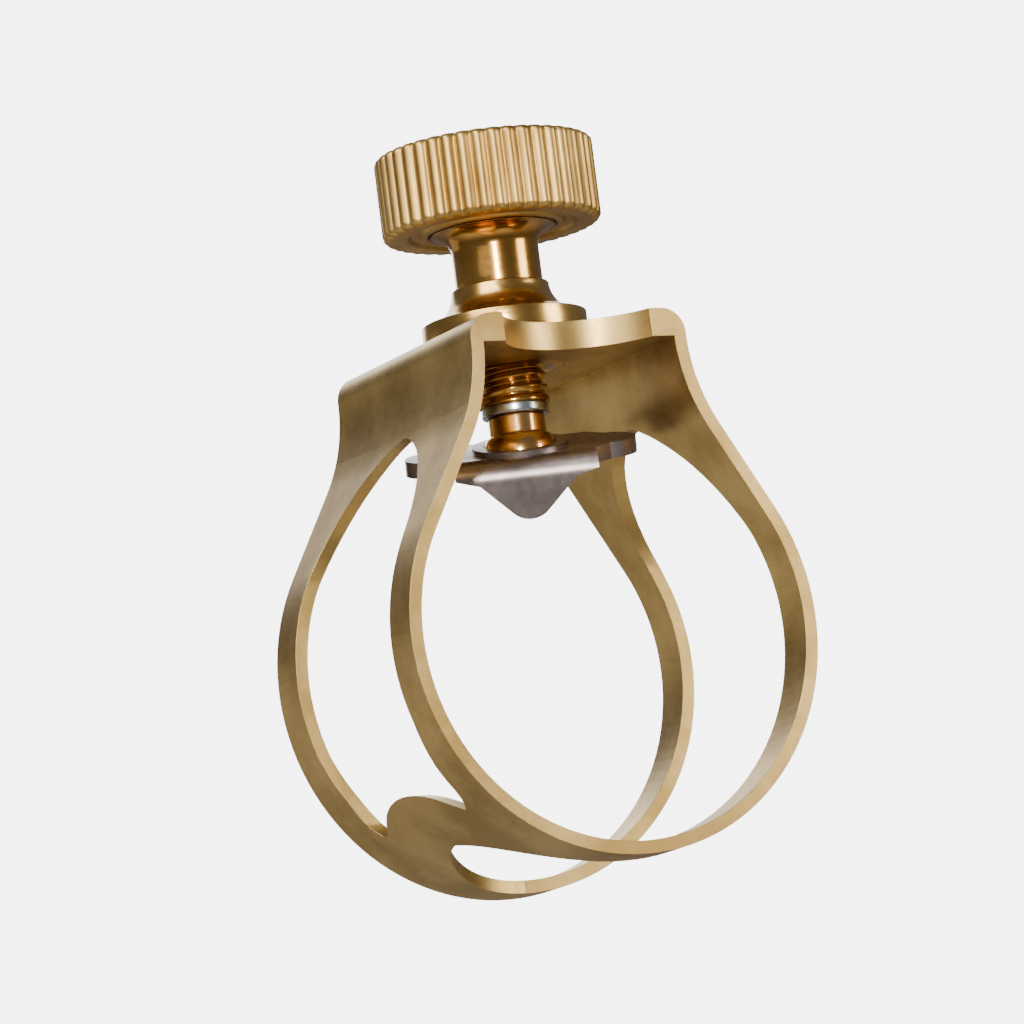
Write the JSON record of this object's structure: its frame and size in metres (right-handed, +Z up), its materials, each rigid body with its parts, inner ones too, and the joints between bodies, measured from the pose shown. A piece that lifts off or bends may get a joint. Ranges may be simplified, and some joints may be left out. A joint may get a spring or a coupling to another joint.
{
  "type": "single-screw mouthpiece ligature",
  "caption": "Skeleton brass reed ligature with a knurled thumb screw through a flared bush on its bridge and a pressure plate that swivels and rocks on the screw's tip.",
  "frame": {"origin": "on the axis of the mouthpiece that the two loops hold, halfway along the ligature", "axes": "+Z up along the screw; -Y towards the mouthpiece's tip; +X completes the right-handed frame"},
  "size_m": [0.025, 0.017, 0.0415],
  "materials": {
    "cage_brass": "polished and lacquered",
    "bush_brass": "turned and polished",
    "screw_brass": "turned and polished",
    "knob_brass": "ribbed and lacquered",
    "washer_steel": "bright steel",
    "hub_brass": "turned and polished",
    "plate_nickel": "satin nickel plate",
    "clip_steel": "bright spring steel"
  },
  "bodies": {
    "frame": {"cage": "cage_brass", "screw_bush": "bush_brass"},
    "carrier": {"thrust_washer": "washer_steel"},
    "screw": {"screw_spindle": "screw_brass", "thumb_knob": "knob_brass", "retaining_clip": "clip_steel"},
    "swivel": {"plate_hub": "hub_brass"},
    "plate": {"pressure_plate": "plate_nickel"}
  },
  "joints": [
    {"name": "screw_travel", "type": "slide", "parent": "frame", "child": "carrier", "axis": [0, 0, 1], "range_m": [-0.0018, 0.001]},
    {"name": "screw_spin", "type": "hinge", "parent": "carrier", "child": "screw", "pos_m": [0, 0, 0.015], "axis": [0, 0, 1], "range_deg": [-927, 515]},
    {"name": "plate_swivel", "type": "hinge", "parent": "carrier", "child": "swivel", "pos_m": [0, 0, 0.013], "axis": [0, 0, 1], "range_deg": [-136, 4]},
    {"name": "plate_rock", "type": "hinge", "parent": "swivel", "child": "plate", "pos_m": [0, 0, 0.0113], "axis": [-0.9135, 0.4067, 0], "range_deg": [-1, 41]}
  ],
  "couplings": [
    {"joint": "screw_spin", "follows": "screw_travel", "rad_per_m": 8976}
  ]
}
